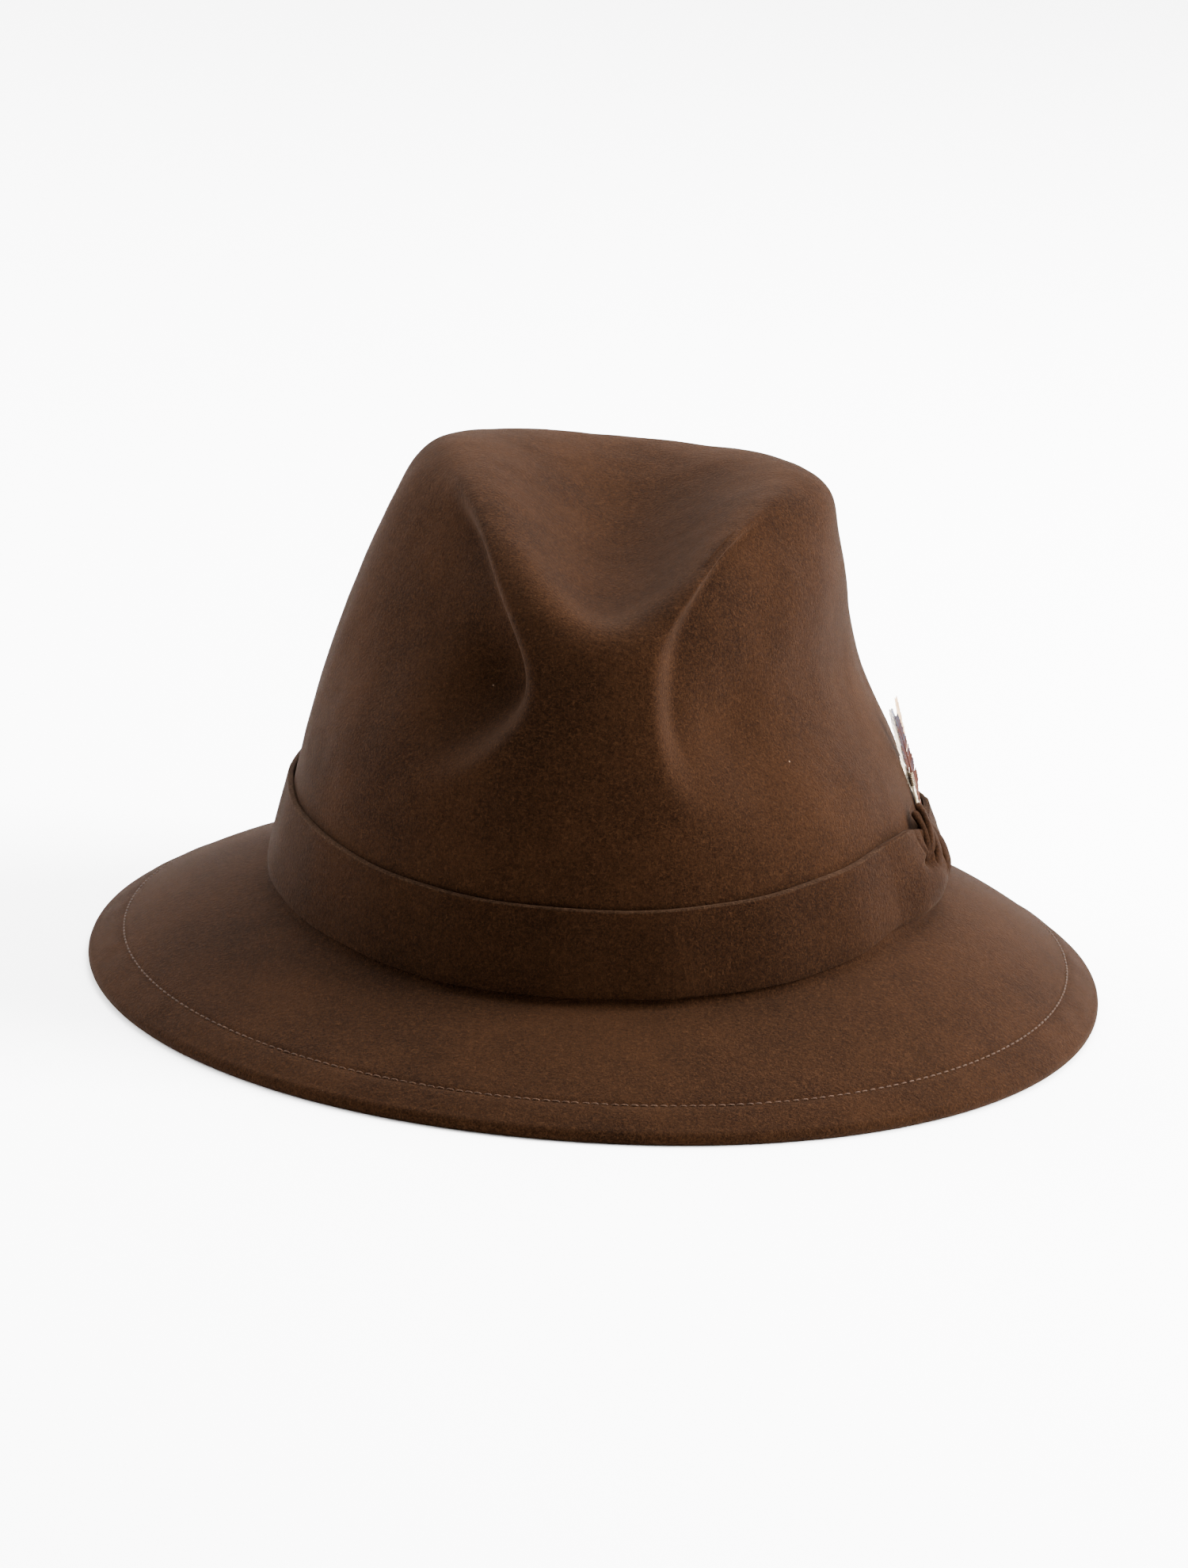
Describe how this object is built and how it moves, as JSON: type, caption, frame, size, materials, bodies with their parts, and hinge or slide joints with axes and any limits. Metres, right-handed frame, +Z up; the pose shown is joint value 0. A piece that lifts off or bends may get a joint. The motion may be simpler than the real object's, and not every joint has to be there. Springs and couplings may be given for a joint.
{
  "type": "felt hat",
  "caption": "Brown felt hat with a creased, pinched crown, turned-down stitched brim, felt band with gathered bow, pull-out feathers, leather sweatband and satin lining.",
  "frame": {"origin": "middle of the hat's outline, on the plane that the brim's edge rests on", "axes": "+Z up through the crown, -Y the wearer's front, +X the wearer's left"},
  "size_m": [0.2627, 0.3056, 0.1371],
  "materials": {
    "crown_felt": "dark brown fur felt with a short soft nap",
    "band_felt": "the same brown felt, cut as a band and a gathered bow",
    "tan_thread": "twisted tan sewing thread",
    "sweatband_leather": "tan roan leather, matt",
    "reed_plastic": "round plastic reed",
    "tape": "brown woven ribbon",
    "lining_satin": "bronze-brown satin",
    "tab_cloth": "blank woven tab",
    "quill": "horn-coloured quills bound with thread",
    "feather_cream": "cream to tan hackle feather",
    "feather_chestnut": "dark red-brown feather",
    "feather_white": "white and pale grey feather",
    "feather_guinea": "speckled grey feather"
  },
  "bodies": {
    "hat": {"felt_body": "crown_felt", "brim_needle_thread": "tan_thread", "brim_bobbin_thread": "tan_thread", "hatband": "band_felt", "bow_front_loop": "band_felt", "bow_rear_loop": "band_felt", "bow_wrap": "band_felt", "sweatband": "sweatband_leather", "sweatband_reed": "reed_plastic", "reed_tape": "tape", "sweatband_thread": "tan_thread", "sweatband_seam_tape": "tape", "sweatband_bow": "tape", "lining_side": "lining_satin", "lining_tip": "lining_satin", "lining_piping": "lining_satin", "size_tab": "tab_cloth"},
    "feather_bunch": {"feather_quills": "quill", "feather_binding": "quill", "feather_cream": "feather_cream", "feather_chestnut": "feather_chestnut", "feather_white": "feather_white", "feather_guinea": "feather_guinea"}
  },
  "joints": [
    {"name": "feather_pull", "type": "slide", "parent": "hat", "child": "feather_bunch", "axis": [-0.2922, 0.1619, 0.9425], "range_m": [0, 0.018]}
  ]
}
